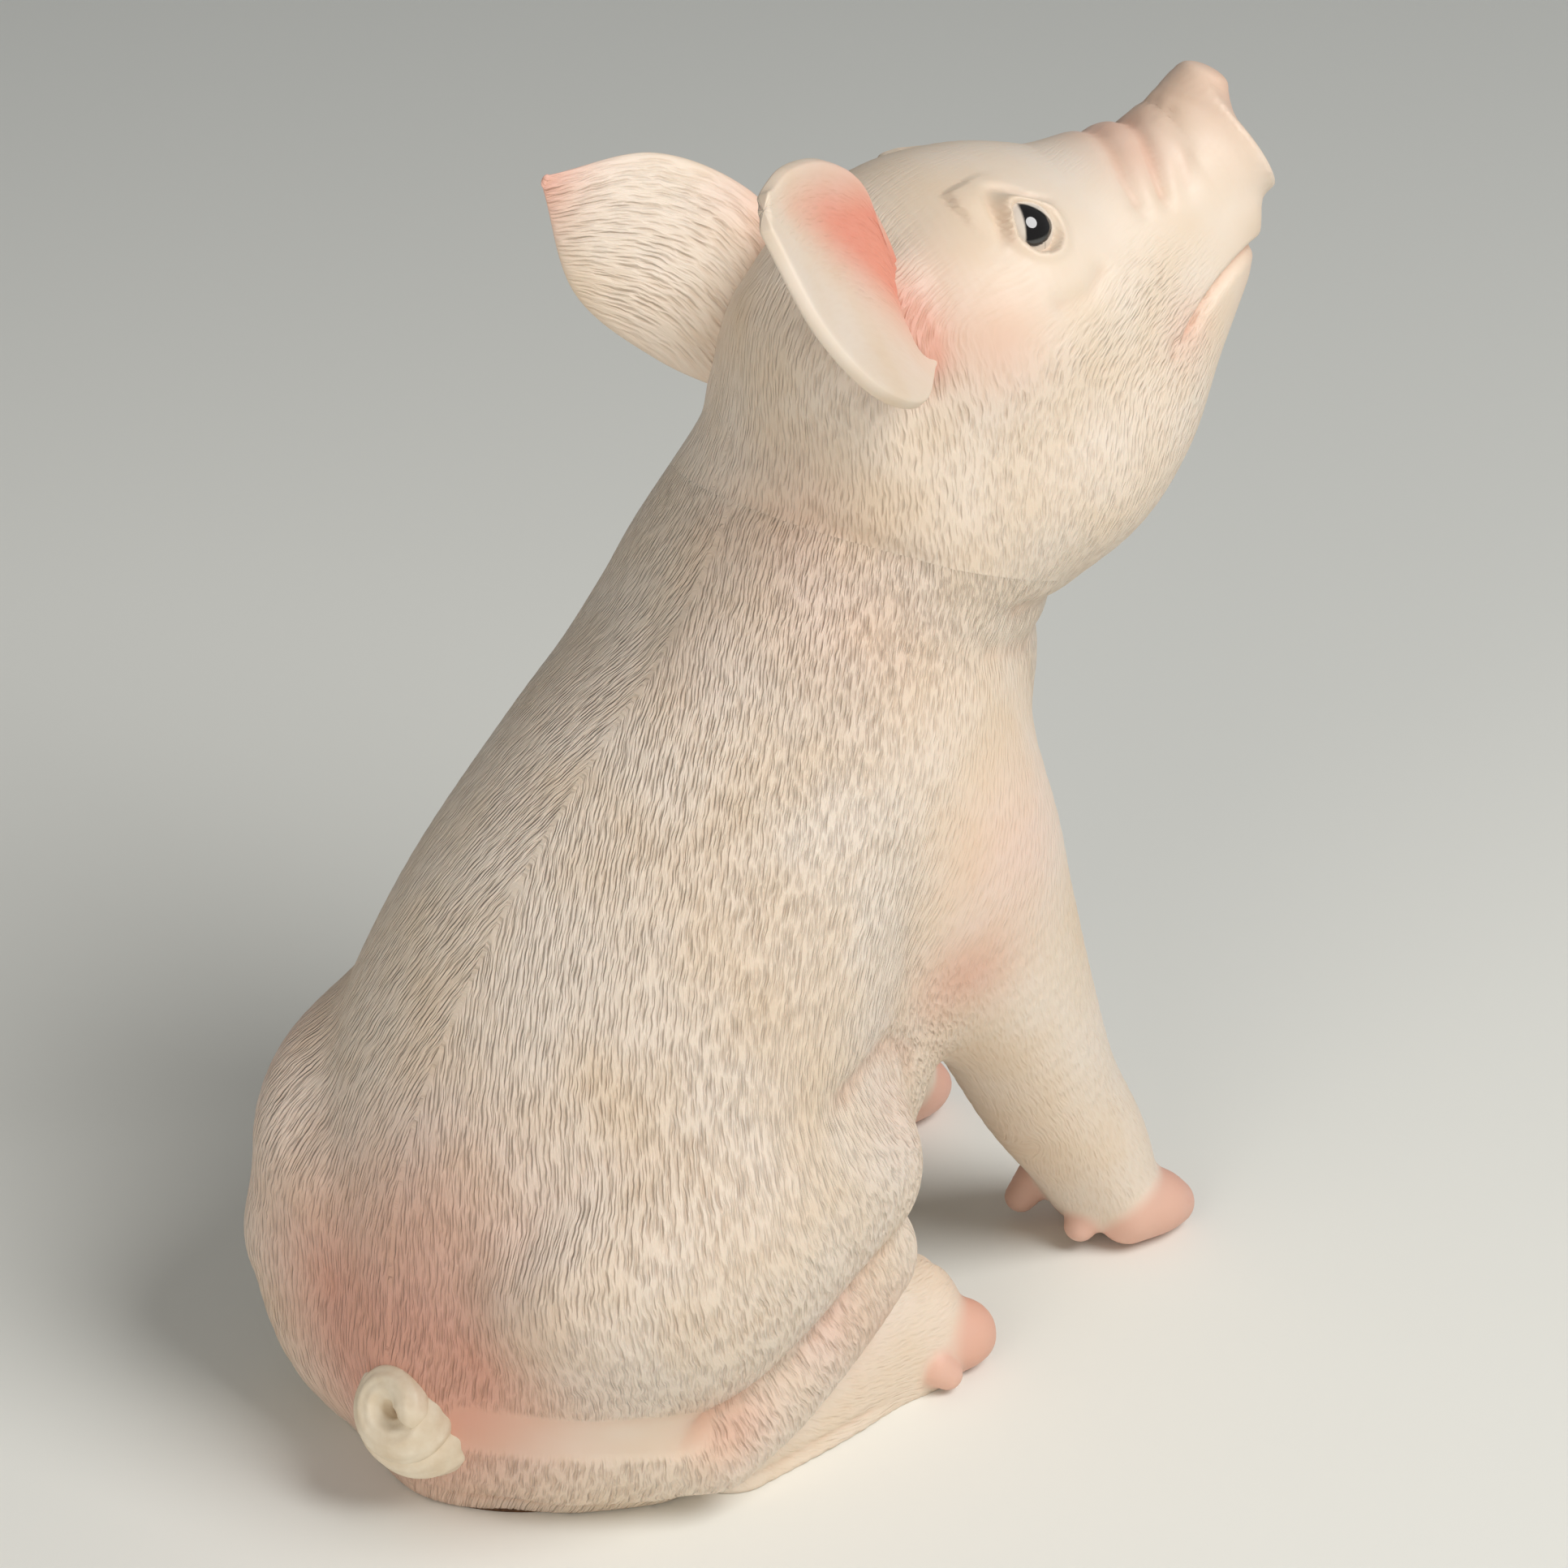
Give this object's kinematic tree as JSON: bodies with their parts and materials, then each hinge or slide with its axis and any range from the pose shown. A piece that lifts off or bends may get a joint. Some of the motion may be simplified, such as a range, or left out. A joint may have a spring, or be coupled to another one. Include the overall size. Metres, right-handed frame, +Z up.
{
  "type": "pig figurine",
  "caption": "Sitting piglet ornament with turned head, spread ears, curled tail and combed hair, cast in resin, hand painted, on a flat felted base.",
  "frame": {"origin": "middle of the whole figure's outline, at the floor", "axes": "the body faces -Y, +X is the animal's left, +Z is up"},
  "size_m": [0.102, 0.157, 0.1983],
  "materials": {
    "painted_resin": "satin, hand painted",
    "ivory_resin": "satin, hand painted",
    "eye_bead": "gloss",
    "base_board": "matte",
    "felt": "matte felt",
    "dowel_wood": "plain",
    "pin_steel": "drawn wire"
  },
  "bodies": {
    "root": {"body_shell": "painted_resin", "head": "painted_resin", "foreleg_left": "painted_resin", "foreleg_right": "painted_resin", "hind_foot_left": "painted_resin", "hind_foot_right": "painted_resin", "ear_left": "painted_resin", "ear_right": "painted_resin", "tail": "ivory_resin", "eye_left": "eye_bead", "eye_right": "eye_bead", "base_plate": "base_board", "base_felt": "felt", "neck_dowel": "dowel_wood", "foreleg_pin_left": "pin_steel", "foreleg_pin_right": "pin_steel", "hind_foot_pin_left": "pin_steel", "hind_foot_pin_right": "pin_steel", "ear_pin_left": "pin_steel", "ear_pin_right": "pin_steel"}
  },
  "joints": []
}
